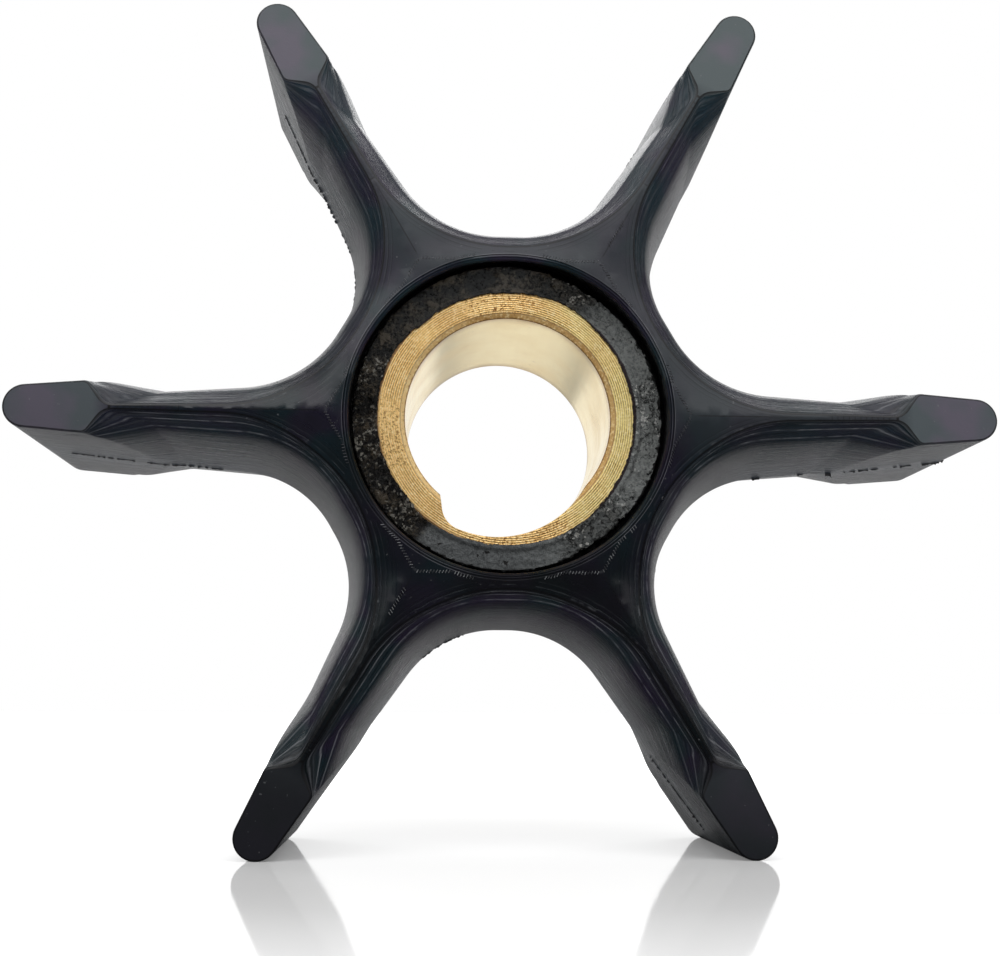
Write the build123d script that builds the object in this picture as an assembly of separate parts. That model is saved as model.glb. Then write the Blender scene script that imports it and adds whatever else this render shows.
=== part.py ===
from build123d import *
from collections import namedtuple
from math import acos, atan, cos, dist, hypot, radians, sin, tan
import os

# Flexible-vane pump impeller: a moulded rubber body bonded round a brass bush.
#
# The origin is on the bore axis, half way along the impeller. +Y runs along the bore, +Z is up,
# and the impeller stands on the tips of its two lower vanes. Its two ends are alike.

# ---------------------------------------------------------------------------
# Driving dimensions, in millimetres and degrees
# ---------------------------------------------------------------------------
vane_count = 6
overall_radius = 40.0        # bore axis to the outermost point of a vane
body_width = 20.2            # along the bore axis, over the two end faces

# The bulb that seals each vane against the pump's casing
bulb_length = 6.25           # from its two corners out to the tip
bulb_half_width = 2.14       # across its corners
tip_radius = 1.75            # the round that runs along the tip

# The webs, which thicken from their necks beside the bulbs towards the hub
web_taper = 0.06             # growth of half the thickness per millimetre towards the hub

# The moulded walls lean out from the end faces to the parting line at half width:
# a steep bevel first, then a long draft
bevel_depth = 1.0

# The bevel's upper edge, on the end face, where the web is only a narrow crest
face_apothem = 13.9          # bore axis to the flat middle of each arch between two vanes
face_flat_half = 0.32        # half the flat that the arch's two rounds leave between them
face_neck_half = 0.2         # half the web's thickness at its neck
face_neck_share = 0.854      # the neck's place on the way from the arch's flat to the bulb
face_flare_radius = 3.2      # round between the neck and the bulb's corner

# The bevel's lower edge
bevel_apothem = 14.85
bevel_flat_half = 1.12
bevel_neck_half = 1.3
bevel_neck_share = 0.704
bevel_flare_radius = 60.0

# The parting line
parting_apothem = 16.8
parting_flat_half = 0.5
parting_neck_half = 3.3
parting_neck_share = 0.528
parting_flare_radius = 200.0
bulb_draft = 0.15            # how much the bulb's sides swell at the parting line

# The brass bush, with a ramped cam recess along its bore instead of a keyway
bore_radius = 8.4
bush_wall = 2.4
bush_setback = 1.7           # its end faces lie this far inside the body's
mouth_chamfer = 0.4
cam_depth = 1.65             # how far the recess reaches beyond the bore at its deepest
cam_tightening = 0.2         # the recess's floor arc is this much tighter than the bore
cam_angle = 241.0            # direction of the deepest point, from +X towards +Z
cam_step_angle = 229.5       # where the recess's steep side leaves the bore
cam_step_lean = 7.5          # lean of that side from the vertical
cam_corner_radius = 2.0      # round where it meets the floor

# The recess round the bush, at each end of the hub
recess_wall = 2.05           # width of the rubber ring between the bush and the recess's wall
recess_depth = 2.6
lip_width = 0.5              # shoulder round the recess's rim
lip_depth = 0.25

# ---------------------------------------------------------------------------
# Sizes that follow
# ---------------------------------------------------------------------------
half_width = body_width / 2
half_pitch = 180.0 / vane_count
corner_distance = overall_radius - bulb_length
bush_radius = bore_radius + bush_wall
bush_length = body_width - 2 * bush_setback
recess_radius = bush_radius + recess_wall
cam_radius = bore_radius - cam_tightening
cam_offset = bore_radius + cam_depth - cam_radius
clear = 1.0                  # how far a cutter runs past the surface that it cuts

bevel_height = half_width - bevel_depth

Level = namedtuple("Level", "height apothem flat_half neck_half neck_share flare_radius"
                            " corner_half")
face_level = Level(half_width, face_apothem, face_flat_half, face_neck_half,
                   face_neck_share, face_flare_radius, bulb_half_width)
bevel_level = Level(bevel_height, bevel_apothem, bevel_flat_half, bevel_neck_half,
                    bevel_neck_share, bevel_flare_radius, bulb_half_width)
parting_level = Level(0.0, parting_apothem, parting_flat_half, parting_neck_half,
                      parting_neck_share, parting_flare_radius, bulb_half_width + bulb_draft)


def tip_tangent_point(corner_half):
    """Where a bulb's side, coming from its corner, runs into the round of the tip."""
    along = bulb_length - tip_radius
    to_corner = hypot(along, corner_half)
    turn = radians(180) - acos(along / to_corner) - acos(tip_radius / to_corner)
    centre = overall_radius - tip_radius
    return centre + tip_radius * cos(turn), tip_radius * sin(turn)


def arch_corner(level, neck_distance):
    """Where the arch's flat middle and the web's side would meet without their round."""
    a = radians(half_pitch)
    at_axis = level.neck_half + web_taper * neck_distance
    along = (level.apothem - at_axis * sin(a)) / (cos(a) - web_taper * sin(a))
    return along, at_axis - web_taper * along


def arch_radius(level, arch_middle, corner):
    """The round between the arch's flat and the web's side that leaves the level's flat."""
    turn = radians(90 - half_pitch) - atan(web_taper)
    return (dist(arch_middle, corner) - level.flat_half) / tan(turn / 2)


def vane_side(level):
    """One side of the vane along +X, from the middle of the arch beside it out to its tip."""
    a = radians(half_pitch)
    arch_middle = (level.apothem * cos(a), level.apothem * sin(a))
    neck_distance = level.apothem + level.neck_share * (corner_distance - level.apothem)
    neck = (neck_distance, level.neck_half)
    bulb_corner = (corner_distance, level.corner_half)
    tangent_point = tip_tangent_point(level.corner_half)
    on_tip = (overall_radius - tip_radius * (1 - cos(radians(45))), tip_radius * sin(radians(45)))
    corner = arch_corner(level, neck_distance)
    arch_and_web = FilletPolyline(arch_middle, corner, neck,
                                  radius=arch_radius(level, arch_middle, corner))
    flare = RadiusArc(neck, bulb_corner, -level.flare_radius)
    bulb_side = Line(bulb_corner, tangent_point)
    tip_round = ThreePointArc(tangent_point, on_tip, (overall_radius, 0))
    return [*arch_and_web.edges(), *flare.edges(), *bulb_side.edges(), *tip_round.edges()]


def body_section(level):
    """The body's outline at one level, with every vane, as a face across the bore axis."""
    one_side = vane_side(level)
    one_vane = one_side + [edge.mirror(Plane.XZ) for edge in one_side]
    outline = [edge.rotate(Axis.Z, 2 * half_pitch * number)
               for number in range(vane_count) for edge in one_vane]
    return Plane.XZ.offset(level.height) * make_face(outline)


def end_recess():
    """Cutter for the recess round the bush at the front end, with the shoulder of its rim."""
    face = -half_width
    rim = recess_radius + lip_width
    profile = Polyline((0, face + recess_depth), (recess_radius, face + recess_depth),
                       (recess_radius, face + lip_depth), (rim, face), (rim, face - clear),
                       (0, face - clear), close=True)
    return revolve(make_face(profile.edges()), Axis.Y)


def both_ends(shape):
    return shape + shape.mirror(Plane.XZ)


def rubber_body():
    face, bevel, parting = (body_section(level)
                            for level in (face_level, bevel_level, parting_level))
    front_half = loft([face, bevel], ruled=True) + loft([bevel, parting], ruled=True)
    bush_seat = extrude(Plane.XZ * Circle(bush_radius), half_width, both=True)
    return both_ends(front_half) - bush_seat - both_ends(end_recess())


def cam_recess():
    """The part of the bore's outline that a shaft's cam bears on: one steep side, then a ramp."""
    deepest = radians(cam_angle)
    step = radians(cam_step_angle)
    floor = Pos(cam_offset * cos(deepest), cam_offset * sin(deepest)) * Circle(cam_radius)
    reach = 2 * bush_radius
    past_step = Rectangle(reach, 2 * reach, align=(Align.MAX, Align.CENTER))
    side = Pos(bore_radius * cos(step), bore_radius * sin(step)) * Rot(0, 0, cam_step_lean)
    lobe = floor - side * past_step
    corner = lobe.vertices().sort_by_distance((0, 0, 0))[-1]
    return fillet(corner, cam_corner_radius)


def brass_bush():
    bore = Circle(bore_radius) + cam_recess()
    blank = extrude(Plane.XZ * (Circle(bush_radius) - bore), bush_length / 2, both=True)
    mouth = Plane.XZ.offset(bush_length / 2 - mouth_chamfer / 2)
    cone = mouth * Cone(bore_radius, bore_radius + mouth_chamfer, mouth_chamfer)
    return blank - both_ends(cone)


def write_parts():
    os.makedirs("parts", exist_ok=True)
    export_step(rubber_body(), "parts/rubber_body.step")
    export_step(brass_bush(), "parts/brass_bush.step")


write_parts()
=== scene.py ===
from collections import namedtuple
from math import acos, atan, atan2, cos, dist, hypot, pi, radians, sin, sqrt, tan
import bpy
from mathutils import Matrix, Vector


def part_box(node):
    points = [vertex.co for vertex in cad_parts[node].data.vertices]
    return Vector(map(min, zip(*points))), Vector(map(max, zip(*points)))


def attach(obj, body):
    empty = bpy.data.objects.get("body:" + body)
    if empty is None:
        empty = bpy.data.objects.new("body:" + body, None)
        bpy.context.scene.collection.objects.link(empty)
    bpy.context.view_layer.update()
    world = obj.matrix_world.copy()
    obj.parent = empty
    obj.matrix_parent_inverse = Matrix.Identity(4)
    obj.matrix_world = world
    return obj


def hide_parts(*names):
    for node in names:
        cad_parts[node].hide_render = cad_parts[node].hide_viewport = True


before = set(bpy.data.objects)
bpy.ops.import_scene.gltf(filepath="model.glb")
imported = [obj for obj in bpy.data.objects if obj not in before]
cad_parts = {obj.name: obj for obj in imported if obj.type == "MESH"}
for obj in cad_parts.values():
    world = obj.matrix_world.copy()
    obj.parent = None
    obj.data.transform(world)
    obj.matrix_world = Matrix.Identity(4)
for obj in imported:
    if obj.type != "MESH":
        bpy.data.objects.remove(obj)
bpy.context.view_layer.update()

from types import SimpleNamespace

import bpy
import numpy as np
from mathutils import Matrix, Vector, geometry, noise

MM = 0.001                   # everything below is in millimetres and degrees

# --------------------------------------
# Sizes of the rubber body, as the solids have them
# --------------------------------------
vane_count = 6
overall_radius = 40.0
body_width = 20.2
tip_radius = 1.75
bevel_depth = 1.0
bore_radius = 8.4
bush_wall = 2.4
bush_setback = 1.7
mouth_chamfer = 0.4
cam_depth = 1.65
cam_tightening = 0.2
cam_angle = 241.0
cam_step_angle = 229.5
cam_step_lean = 7.5
cam_corner_radius = 2.0
recess_wall = 2.05
recess_depth = 2.6
lip_width = 0.5
lip_depth = 0.25

half_width = body_width / 2
vane_pitch = 360.0 / vane_count
half_pitch = vane_pitch / 2
bush_radius = bore_radius + bush_wall
bush_half = half_width - bush_setback
recess_radius = bush_radius + recess_wall
rim_radius = recess_radius + lip_width

# The body's outline at three levels. A web runs from the flat middle of an arch to its neck,
# then a short flank opens out to the corner of the bulb.
Level = namedtuple("Level", "apothem flat_half taper neck_distance neck_half neck_round"
                            " corner_distance corner_half corner_round")
face_level = Level(13.9, 0.32, 0.012, 32.1, 0.22, 1.3, 33.48, 2.15, 0.7)
bevel_level = Level(14.85, 1.0, 0.057, 28.4, 1.2, 2.0, 33.0, 2.21, 0.9)
parting_level = Level(16.8, 0.5, 0.1, 27.0, 2.9, 3.0, 28.8, 2.86, 3.0)

# --------------------------------------
# Sizes of what the solids leave plain
# --------------------------------------
edge_round = 0.13            # on the edges of the end faces
wall_fullness = 0.55         # below 1, the wall swells out early between bevel and parting line
ridge_apothem = 12.8         # the end face falls away outside this hexagon
face_fall = 0.75             # how deep it has fallen at the middle of each arch
face_fall_reach = 1.5        # over this distance from the hexagon
vane_ridge_reach = (3.4, 4.2, 4.2, 2.6, 2.2, 2.2)     # and from the ridge along each vane
arch_edge_shift = 0.4        # the fallen edge lies this much further out
bent_vane = 2                # counted from +X towards +Z
vane_bend = 0.4              # sideways, at its tip
turning_pitch = 0.18         # of the lines on the brass
tick_pitch = 0.25            # of the ticks along the ridges
tick_width = 0.11
tick_height = 0.08
tick_foot = 0.02             # how deep they stand in the face
ticked_vanes = (1, 4)        # those with ticks on their own ridges


# --------------------------------------
# Meshes
# --------------------------------------
def in_scene(name, data):
    """A new object of the scene."""
    thing = bpy.data.objects.new(name, data)
    bpy.context.scene.collection.objects.link(thing)
    return thing


def make_piece(name, points, faces, materials, smooth_angle=38.0):
    """A mesh piece that rides with the body. Points are in millimetres."""
    mesh = bpy.data.meshes.new(name)
    mesh.from_pydata([tuple(p) for p in np.asarray(points, float) * MM], [],
                     [tuple(int(i) for i in f) for f in faces])
    mesh.update()
    mesh.shade_smooth()
    mesh.set_sharp_from_angle(angle=radians(smooth_angle))
    piece = in_scene(name, mesh)
    for material in materials:
        mesh.materials.append(material)
    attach(piece, "root")
    return piece


def store(piece, name, values):
    """Keeps one vector per vertex on the mesh for its material to read."""
    attribute = piece.data.attributes.new(name, "FLOAT_VECTOR", "POINT")
    attribute.data.foreach_set("vector", np.asarray(values, np.float32).ravel())


def columns(*values):
    """Rows of vectors from their components; a single number holds for all rows."""
    return np.stack(np.broadcast_arrays(*values), 1)


def band(first, second, count, flip=False):
    """Quads all the way round between two rings of points, given where each ring starts."""
    quads = [(first + c, first + (c + 1) % count, second + (c + 1) % count, second + c)
             for c in range(count)]
    return [quad[::-1] for quad in quads] if flip else quads


def grid_faces(rings, count, start=0, flip=False):
    """Quads between consecutive rings of points."""
    return [quad for r in range(rings - 1)
            for quad in band(start + r * count, start + (r + 1) * count, count, flip)]


def wave(x, y=0.0, z=0.0):
    """Smooth seeded noise, about -1 to 1."""
    return noise.noise(Vector((x, y, z)))


def layered_waves(x, z, *layers):
    """Waves of several sizes over a row of places; each layer is its amount, scale and seed."""
    return np.array([sum(amount * wave(a * scale, b * scale, seed)
                         for amount, scale, seed in layers) for a, b in zip(x, z)])


def smooth_step(low, high, value):
    t = np.clip((np.asarray(value, float) - low) / (high - low), 0, 1)
    return t * t * (3 - 2 * t)


def by_angle(table, angles):
    """Values between those of a table of angle and value."""
    return np.interp(angles, *zip(*table))


def spot(angle, along, across=0.0):
    """The place that lies along and across a direction, given by its angle in degrees."""
    a = radians(angle)
    return np.array((along * cos(a) - across * sin(a), along * sin(a) + across * cos(a)))


def way_along(path):
    """How far along a path each of its points lies."""
    return np.concatenate(([0], np.cumsum(np.hypot(*np.diff(path, axis=0).T))))


def nearest_on(line, points):
    """Which point of a line is nearest to each place, and how far off it is."""
    distance = np.hypot(*np.moveaxis(points[:, None, :] - line, 2, 0))
    return distance.argmin(1), distance.min(1)


def on_circle(radius, angles):
    """x and z at angles in degrees."""
    return radius * np.cos(np.radians(angles)), radius * np.sin(np.radians(angles))


# --------------------------------------
# The body's outline at one level
# --------------------------------------
def arc_points(centre, radius, start, end, count):
    """Points along an arc, its angles in radians, without the first one."""
    angles = np.linspace(start, end, count + 1)[1:]
    return [(centre[0] + radius * cos(a), centre[1] + radius * sin(a)) for a in angles]


def rounded_path(corners, rounds, line_counts, arc_count):
    """A path through corners with each inner one rounded, as points without the first."""
    path, start = [], np.array(corners[0])
    for index, radius in enumerate(rounds):
        corner, ahead = np.array(corners[index + 1]), np.array(corners[index + 2])
        before = (corner - start) / hypot(*(corner - start))
        after = (ahead - corner) / hypot(*(ahead - corner))
        turn = atan2(before[0] * after[1] - before[1] * after[0], before @ after)
        reach = radius * tan(abs(turn) / 2)
        enter, side = corner - before * reach, np.sign(turn)
        centre = enter + side * radius * np.array((-before[1], before[0]))
        first = atan2(*(enter - centre)[::-1])
        path.extend(np.linspace(start, enter, line_counts[index] + 1)[1:])
        path += arc_points(centre, radius, first, first + turn, arc_count[index])
        start = corner + after * reach
    path.extend(np.linspace(start, corners[-1], line_counts[-1] + 1)[1:])
    return path


def vane_side(level):
    """One side of the vane along +X, from the middle of the arch beside it out to its tip."""
    a = radians(half_pitch)
    middle = (level.apothem * cos(a), level.apothem * sin(a))
    at_axis = level.neck_half + level.taper * level.neck_distance
    along = (level.apothem - at_axis * sin(a)) / (cos(a) - level.taper * sin(a))
    arch_corner = (along, at_axis - level.taper * along)
    turn = pi / 2 - a - atan(level.taper)
    arch_round = (dist(middle, arch_corner) - level.flat_half) / tan(turn / 2)

    centre = overall_radius - tip_radius
    reach = centre - level.corner_distance
    far = hypot(reach, level.corner_half)
    tangent = pi - acos(reach / far) - acos(tip_radius / far)
    tangent_point = (centre + tip_radius * cos(tangent), tip_radius * sin(tangent))
    path = rounded_path([middle, arch_corner, (level.neck_distance, level.neck_half),
                         (level.corner_distance, level.corner_half), tangent_point],
                        [arch_round, level.neck_round, level.corner_round],
                        [2, 18, 8, 7], [26, 8, 6])
    return np.array([middle, *path, *arc_points((centre, 0), tip_radius, tangent, 0, 12)])


def outline(level):
    """The whole outline, counter-clockwise from the vane along +X, and the way along it."""
    side = vane_side(level)
    way = way_along(side)
    lower = side * (1, -1)
    vane = np.vstack((lower, side[-2:0:-1]))
    vane_way = np.concatenate((way, way[-2:0:-1]))
    around = [vane @ np.array((spot(vane_pitch * number, 1.0), spot(vane_pitch * number, 0.0, 1.0)))
              for number in range(vane_count)]
    return np.vstack(around), np.tile(vane_way, vane_count)


def in_vane(points):
    """Each point's way along its nearest vane, its way across it, and the vane's number."""
    angle = np.degrees(np.arctan2(points[:, 1], points[:, 0]))
    number = np.round(angle / vane_pitch).astype(int)
    a = np.radians(vane_pitch * number)
    along = points[:, 0] * np.cos(a) + points[:, 1] * np.sin(a)
    across = -points[:, 0] * np.sin(a) + points[:, 1] * np.cos(a)
    return along, across, number % vane_count


def fall(points):
    """How far the end face has fallen away at each point, 0 to 1."""
    along, across, number = in_vane(points)
    across = np.maximum(np.abs(across), 1e-4)
    a = radians(half_pitch)
    outside = np.maximum(along * cos(a) + across * sin(a) - ridge_apothem, 1e-4)
    slopes = (outside / face_fall_reach, across / np.take(vane_ridge_reach, number), 1.2)
    roof = sum(slope ** -3.0 for slope in slopes) ** (-1 / 3)      # the least, rounded over
    return roof * (1 - smooth_step(25, 30, along))


def bend(points):
    """Leans the one vane that has taken a set. Points are x, y, z."""
    flat = points[:, [0, 2]]
    along, _, number = in_vane(flat)
    shift = vane_bend * np.clip((along - 18) / 22, 0, 1) ** 1.4 * (number == bent_vane)
    x, z = spot(vane_pitch * bent_vane, 0.0, 1.0)
    return points + columns(shift * x, 0.0, shift * z)


# --------------------------------------
# The rubber body
# --------------------------------------
face_line, way = outline(face_level)
bevel_line, _ = outline(bevel_level)
parting_line, _ = outline(parting_level)
line_count = len(face_line)


def outward_of(line):
    """Unit normals of a closed outline, pointing out of the body."""
    step = np.roll(line, -1, axis=0) - np.roll(line, 1, axis=0)
    normal = np.stack((step[:, 1], -step[:, 0]), 1)
    return normal / np.hypot(*normal.T)[:, None]


face_out = outward_of(face_line)
edge_fall = fall(face_line)


def wall_row(depth):
    """The wall's outline and its real depth below the end plane, for a nominal depth."""
    if depth < bevel_depth:
        share = depth / bevel_depth
        line = face_line + (bevel_line - face_line) * share
        line = line + face_out * (arch_edge_shift * edge_fall * (1 - share))[:, None]
        inset = edge_round * max(0.0, 1 - depth / edge_round) ** 2
        line = line - face_out * inset
        return line, depth + face_fall * edge_fall * (1 - share)
    share = ((depth - bevel_depth) / (half_width - bevel_depth)) ** wall_fullness
    return bevel_line + (parting_line - bevel_line) * share, np.full(line_count, depth)


wall_depths = [0.0, 0.02, 0.05, 0.1, 0.2, 0.35, 0.5, 0.65, 0.8, 0.92, 1.0, 1.08, 1.2, 1.4, 1.7,
               2.1, 2.6, 3.2, 4.0, 5.0, 6.0, 7.0, 8.0, 9.0, 9.6, half_width]

# Flow tells the material where a point is: its way along the outline, its depth on a wall and
# the slow turn. On the end faces the depth is minus the way in from the edge; further in it is:
lip_flow = -6.0              # less the real depth, on the recess's shoulder and wall
ring_flow = -9.0             # on the torn ring, where the third number marks the gap at its rim

# the grooved shoulder and the recess's wall, from the rim inwards, as way in and depth
lip_profile = [(0.0, 0.0), (0.03, 0.05), (0.07, 0.02), (0.18, 0.03), (0.21, 0.09), (0.25, 0.05),
               (0.38, 0.07), (0.43, 0.14), (0.48, lip_depth), (0.495, 0.4), (lip_width, 0.6),
               (lip_width, 1.1), (lip_width, 1.6), (lip_width, 2.1)]
face_spacing = 0.17          # points on the end faces are no closer than this
ring_count = 540
ring_rows = 20
ring_angles = np.arange(ring_count) * 360.0 / ring_count
back_turn = 200              # points by which the back ring's tear is turned
back_character_turn = 140    # degrees by which its roughness and colour are turned

# the tables below go by angle, from +X towards +Z
# visible edge of the brass: torn rubber laps over the bush outside it
brass_edge = [(0, 10.25), (20, 10.25), (40, 10.3), (52, 10.4), (55, 10.55), (66, 10.62),
              (90, 10.45), (115, 10.5), (128, 10.42), (135.5, 10.36), (137, 10.62), (150, 10.76),
              (165, 10.7), (180, 10.6), (195, 10.66), (214, 10.5), (224, 10.55), (226, 10.7),
              (240, 10.68), (258, 10.5), (275, 10.45), (300, 10.5), (325, 10.25), (360, 10.25)]
# how torn the ring is
ring_rough = [(0, 1.0), (14, 1.0), (26, 0.4), (50, 0.4), (58, 1.0), (72, 1.0), (84, 0.5),
              (128, 0.5), (150, 0.7), (174, 1.0), (228, 1.0), (238, 0.1), (288, 0.15), (295, 0.9),
              (318, 0.9), (330, 0.4), (360, 1.0)]
# how much of it has kept its grey skin
ring_grey = [(0, 0.95), (50, 0.9), (60, 0.3), (84, 0.3), (128, 0.25), (150, 0.15), (172, 0.0),
             (233, 0.0), (236, 1.0), (292, 1.0), (298, 0.7), (316, 0.7), (324, 1.0), (360, 0.95)]
# how wide the gap at its rim is
ring_gap = [(0, 0.12), (25, 0.3), (58, 0.6), (74, 0.5), (88, 0.15), (128, 0.1), (150, 0.2),
            (190, 0.1), (236, 0.3), (290, 0.35), (300, 0.7), (318, 0.7), (330, 0.1), (360, 0.12)]
# how far below the end face it meets the rim: it stands up there at the top
ring_rise = [(0, 1.9), (60, 1.9), (84, 1.25), (150, 1.2), (176, 1.8), (360, 1.9)]
ring_depth_at_bush = 1.8


def torn_edge(end):
    """Radius of the brass's visible edge all round one end."""
    edge = by_angle(brass_edge, ring_angles)
    if end > 0:
        edge = np.roll(edge, back_turn)
    edge = edge + layered_waves(*on_circle(1, ring_angles), (0.10, 9, end * 3.0),
                                (0.07, 30, end * 3.0), (0.09, 60, end * 3.0))
    return np.minimum(edge, bush_radius - 0.02)


def ring_surface(end):
    """The torn rubber ring at one end, and how torn and how grey it is all round.

    Each row, from the rim inwards, has x, depth, z and a 1 down in the gap at the rim.
    """
    edge = torn_edge(end)
    at = ring_angles if end < 0 else (ring_angles + back_character_turn) % 360
    rough, grey, gap = (by_angle(table, at) for table in (ring_rough, ring_grey, ring_gap))
    rise = by_angle(ring_rise, ring_angles)
    rows = []
    for share in np.arange(ring_rows) / (ring_rows - 1):
        radius = recess_radius - 0.02 + (edge + 0.05 - recess_radius) * share
        x, z = on_circle(radius, ring_angles)
        nibbled = layered_waves(x, z, (0.5, 1.6, 3 + end), (0.5, 4.5, 5 + end))
        gap_width = (0.12 + 0.42 * gap) * (1 + 0.9 * nibbled)
        trench = np.clip(0.5 + (gap_width - (recess_radius - radius)) / 0.12, 0, 1)
        grain = layered_waves(x, z, (0.16, 1.1, 7 + end), (0.11, 3.1, 17 + end),
                              (0.06, 7.0, 27 + end))
        depth = rise * (1 - share) + ring_depth_at_bush * share + trench * (0.5 + 0.5 * gap)
        depth = depth + grain * (0.35 + rough) * (1 - 0.6 * smooth_step(0.9, 1, share))
        over_bush = smooth_step(bush_radius + 0.25, bush_radius - 0.05, radius)
        depth = depth * (1 - over_bush) + (bush_setback - 0.14 + 0.3 * grain) * over_bush
        depth = np.minimum(depth, recess_depth + 0.6)
        rows.append((x, depth, z, trench))
    # down to the brass, and under it to the seat
    for radius, depth in ((edge, bush_setback - 0.06), (edge * 1.001, bush_setback),
                          (bush_radius, bush_setback)):
        x, z = on_circle(radius, ring_angles)
        rows.append((x, depth, z, trench))
    return rows, rough, grey


def end_face_points():
    """Points inside the end face that follow its outline and its ridges."""
    points = []
    for inset in (0.25, 0.55, 1.0, 1.6, 2.3, 3.1, 4.0):
        for index in range(0, line_count, 2 if inset < 1 else 3):
            points.append(face_line[index] - face_out[index] * (edge_round + inset))
    for number in range(vane_count):
        vane = vane_pitch * number
        points += [spot(vane, along) for along in np.arange(14.9, 32.0, 0.5)]
        points += [spot(vane, along, across) for along in np.arange(33.0, 38.6, 0.7)
                   for across in (-1.2, -0.4, 0.4, 1.2)]
        points += [spot(vane + half_pitch, ridge_apothem, across)
                   for across in np.linspace(-7.35, 7.35, 50)]
    points = np.array(points)
    keep = (np.hypot(*points.T) > rim_radius + 0.12) & (clearance(points) > 0.09)
    return points[keep]


def clearance(points):
    """How far inside the end face's edge each point lies; less than 0 is outside."""
    edge = face_line - face_out * edge_round
    nearest, distance = nearest_on(edge, points)
    side = np.einsum("ij,ij->i", points - edge[nearest], face_out[nearest])
    return np.where(side < 0, distance, -distance)


def thin_out(points, spacing):
    """Drops points that crowd another one."""
    kept, cells = [], {}
    for point in points:
        cell = (int(point[0] // spacing), int(point[1] // spacing))
        near = [q for i in (-1, 0, 1) for j in (-1, 0, 1)
                for q in cells.get((cell[0] + i, cell[1] + j), [])]
        if all(dist(point, q) > spacing for q in near):
            kept.append(point)
            cells.setdefault(cell, []).append(point)
    return kept


def fill_end_face():
    """Triangles between the end face's outline and the recess's rim, with inner points."""
    edge = wall_row(0.0)[0]
    rim = columns(*on_circle(rim_radius, ring_angles))
    inner = thin_out(end_face_points(), face_spacing)
    points = [Vector(p) for p in (*edge, *rim, *inner)]
    edges = [(i, (i + 1) % line_count) for i in range(line_count)]
    edges += [(line_count + i, line_count + (i + 1) % ring_count) for i in range(ring_count)]
    found = geometry.delaunay_2d_cdt(points, edges, [], 0, 1e-5)
    spots = np.array([tuple(p) for p in found[0]])
    source = np.array([ids[0] if ids else -1 for ids in found[3]])
    triangles = []
    for face in found[2]:
        middle = spots[list(face)].mean(0)
        outside_rim = hypot(*middle) >= rim_radius * cos(pi / ring_count) - 0.001
        if outside_rim and inside_outline(middle, edge):
            triangles.append(face)
    return spots, source, triangles


def inside_outline(point, line):
    """Whether a point lies inside a closed outline."""
    ahead = np.roll(line, -1, axis=0)
    crosses = (line[:, 1] > point[1]) != (ahead[:, 1] > point[1])
    at = line[crosses, 0] + (point[1] - line[crosses, 1]) / (
        ahead[crosses, 1] - line[crosses, 1]) * (ahead[crosses, 0] - line[crosses, 0])
    return bool((at > point[0]).sum() % 2)


def flow_of_face(spots):
    """Way along the nearest outline, distance in from it, and a slow turn round the hub."""
    nearest, distance = nearest_on(face_line, spots)
    return way[nearest], -distance, slow_turn(spots)


def slow_turn(points):
    """A number that drifts round the hub, so that the streaks differ from vane to vane."""
    angle = np.arctan2(points[:, 1], points[:, 0])
    return 6 * np.cos(angle) + 4 * np.sin(2 * angle + 0.4)


def rubber_body(material):
    """The moulded body: walls, both end faces, both torn rings and the bush's seat."""
    points, faces, flow, looks = [], [], [], []

    def add(place, place_flow, ring_looks=(0.0, 0.0, 0.0)):
        """Adds points with what their material reads, and says where they start."""
        start = sum(len(p) for p in points)
        for rows, values in ((points, place), (flow, place_flow), (looks, ring_looks)):
            rows.append(columns(place[0], *values)[:, 1:])
        return start

    # walls, from the front edge to the back one
    depths = wall_depths + wall_depths[-2::-1]
    for number, depth in enumerate(depths):
        line, real = wall_row(depth)
        end = -1 if number < len(wall_depths) else 1
        add((line[:, 0], end * (half_width - real), line[:, 1]), (way, depth, slow_turn(line)))
    faces += grid_faces(len(depths), line_count)
    back_row = (len(depths) - 1) * line_count

    spots, source, triangles = fill_end_face()
    seats = []
    for end in (-1, 1):
        # shoulder and torn ring, from the rim in to the bush
        ring_start = sum(len(p) for p in points)
        rim_fall = face_fall * fall(columns(*on_circle(rim_radius, ring_angles)))
        for inset, depth in lip_profile:
            x, z = on_circle(rim_radius - inset, ring_angles)
            deep = depth + rim_fall * max(0, 1 - depth)
            add((x, end * (half_width - deep), z), (0.0, lip_flow - depth, x))
        rows, rough, grey = ring_surface(end)
        for x, depth, z, trench in rows:
            last = add((x, end * (half_width - depth), z), (0.0, ring_flow, trench),
                       (1.0, rough, grey))
        faces += grid_faces(len(lip_profile) + len(rows), ring_count, ring_start, end < 0)
        seats.append(last)

        # end face, sewn to the wall's first or last row and to the ring's rim
        y = end * (half_width - face_fall * fall(spots))
        start = add((spots[:, 0], y, spots[:, 1]), flow_of_face(spots))
        joined = start + np.arange(len(spots))
        on_edge = (source >= 0) & (source < line_count)
        joined[on_edge] = source[on_edge] + (0 if end < 0 else back_row)
        on_rim = (source >= line_count) & (source < line_count + ring_count)
        joined[on_rim] = source[on_rim] - line_count + ring_start
        faces += [joined[list(face)][::-end] for face in triangles]
    faces += band(*seats, ring_count)

    points = np.vstack(points)
    along, across, _ = in_vane(points[:, [0, 2]])
    a = radians(half_pitch)
    outside = along * cos(a) + np.abs(across) * sin(a) - ridge_apothem
    used = sorted({i for face in faces for i in face})
    renumber = {old: new for new, old in enumerate(used)}
    faces = [[renumber[i] for i in face] for face in faces]
    piece = make_piece("rubber_body_detail", bend(points)[used], faces, [material])
    store(piece, "flow", np.vstack(flow)[used])
    store(piece, "ring", np.vstack(looks)[used])
    store(piece, "vane", columns(along, across, outside)[used])
    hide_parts("rubber_body")


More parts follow.
